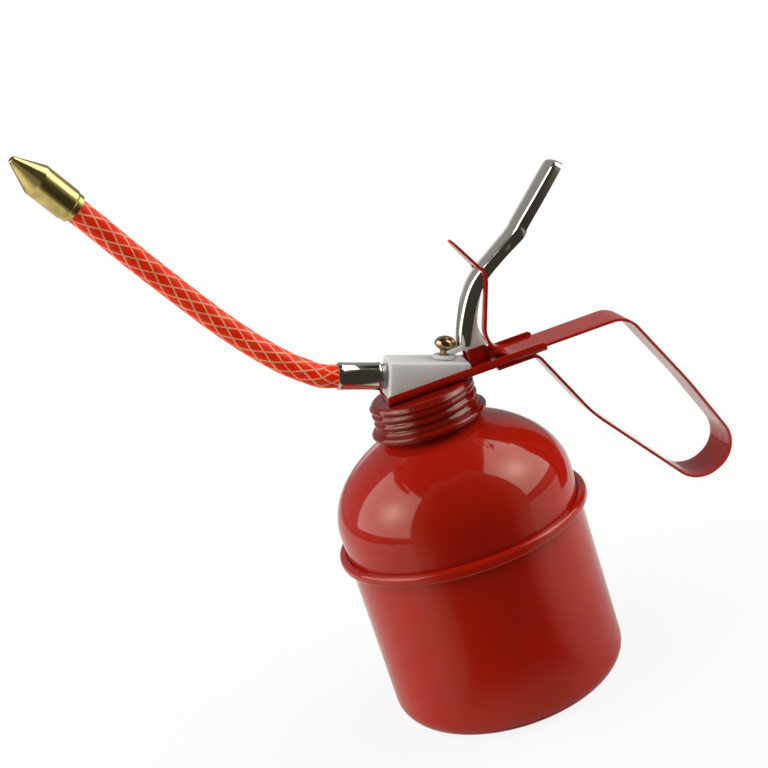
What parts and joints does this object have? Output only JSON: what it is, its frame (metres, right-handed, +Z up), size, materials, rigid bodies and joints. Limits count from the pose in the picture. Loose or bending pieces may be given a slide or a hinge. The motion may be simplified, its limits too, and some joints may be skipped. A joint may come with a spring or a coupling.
{
  "type": "pump oil can",
  "caption": "Round red tin oil can with a domed top and screw cap carrying a thumb-lever pump, a looped strap handle and a curved braided hose spout with a brass tip.",
  "frame": {"origin": "centre of the can's flat base", "axes": "+Z up along the can's axis, +X towards the strap handle, -X towards the hose spout"},
  "size_m": [0.1889, 0.086, 0.2212],
  "materials": {
    "red_paint": "glossy red enamel",
    "lever_chrome": "bright plated",
    "plain_steel": "plain turned steel",
    "tip_brass": "turned, slightly dulled",
    "ball_bronze": "polished dark bronze",
    "white_plastic": "milky, slightly see-through",
    "black_rubber": "plain",
    "hose_plastic": "clear red-orange plastic with pale braid under it"
  },
  "bodies": {
    "can": {"can_body": "red_paint", "can_dome": "red_paint", "seam_ring": "red_paint"},
    "gasket": {"cap_gasket": "black_rubber"},
    "pump_unit": {"screw_cap": "red_paint", "bracket": "red_paint", "strap_handle": "red_paint", "lever_pin": "red_paint", "pump_head": "white_plastic", "wedge_washer": "white_plastic", "clamp_nut": "plain_steel", "gland_nut": "white_plastic", "gland_packing": "black_rubber", "pump_cylinder": "plain_steel", "return_spring": "plain_steel", "foot_valve": "tip_brass", "dip_tube": "white_plastic", "strainer": "tip_brass", "outlet_spring": "plain_steel", "hose_nipple": "plain_steel", "ferrule": "lever_chrome", "hose": "hose_plastic", "nozzle_tip": "tip_brass"},
    "lever": {"lever": "lever_chrome"},
    "plunger": {"plunger_rod": "ball_bronze", "piston": "tip_brass", "piston_seal": "black_rubber"},
    "inlet_check": {"inlet_ball": "plain_steel"},
    "outlet_check": {"outlet_ball": "plain_steel"}
  },
  "joints": [
    {"name": "cap_lift", "type": "slide", "parent": "can", "child": "gasket", "axis": [0, 0, 1], "range_m": [0, 0.0067], "stiffness_N_per_m": 1, "springref_m": 1.069},
    {"name": "cap_turn", "type": "hinge", "parent": "gasket", "child": "pump_unit", "pos_m": [0, 0, 0.1], "axis": [0, 0, 1], "range_deg": [0, 900]},
    {"name": "lever_press", "type": "hinge", "parent": "pump_unit", "child": "lever", "pos_m": [0.0226, 0, 0.11345], "axis": [0, 1, 0], "range_deg": [0, 25], "stiffness_Nm_per_rad": 0.5, "springref_deg": -17.19},
    {"name": "plunger_lift", "type": "slide", "parent": "pump_unit", "child": "plunger", "axis": [0.3387, 0, 0.9409], "range_m": [0, 0.0045], "deforming": ["return_spring"]},
    {"name": "inlet_check_lift", "type": "slide", "parent": "pump_unit", "child": "inlet_check", "axis": [0.3387, 0, 0.9409], "range_m": [0, 0.0018]},
    {"name": "outlet_check_lift", "type": "slide", "parent": "pump_unit", "child": "outlet_check", "axis": [-0.9409, 0, 0.3387], "range_m": [0, 0.0008], "stiffness_N_per_m": 60, "springref_m": -0.0015, "deforming": ["outlet_spring"]}
  ],
  "couplings": [
    {"joint": "cap_lift", "follows": "cap_turn", "m_per_rad": 0.00042176},
    {"joint": "plunger_lift", "follows": "lever_press", "m_per_rad": 0.01}
  ]
}
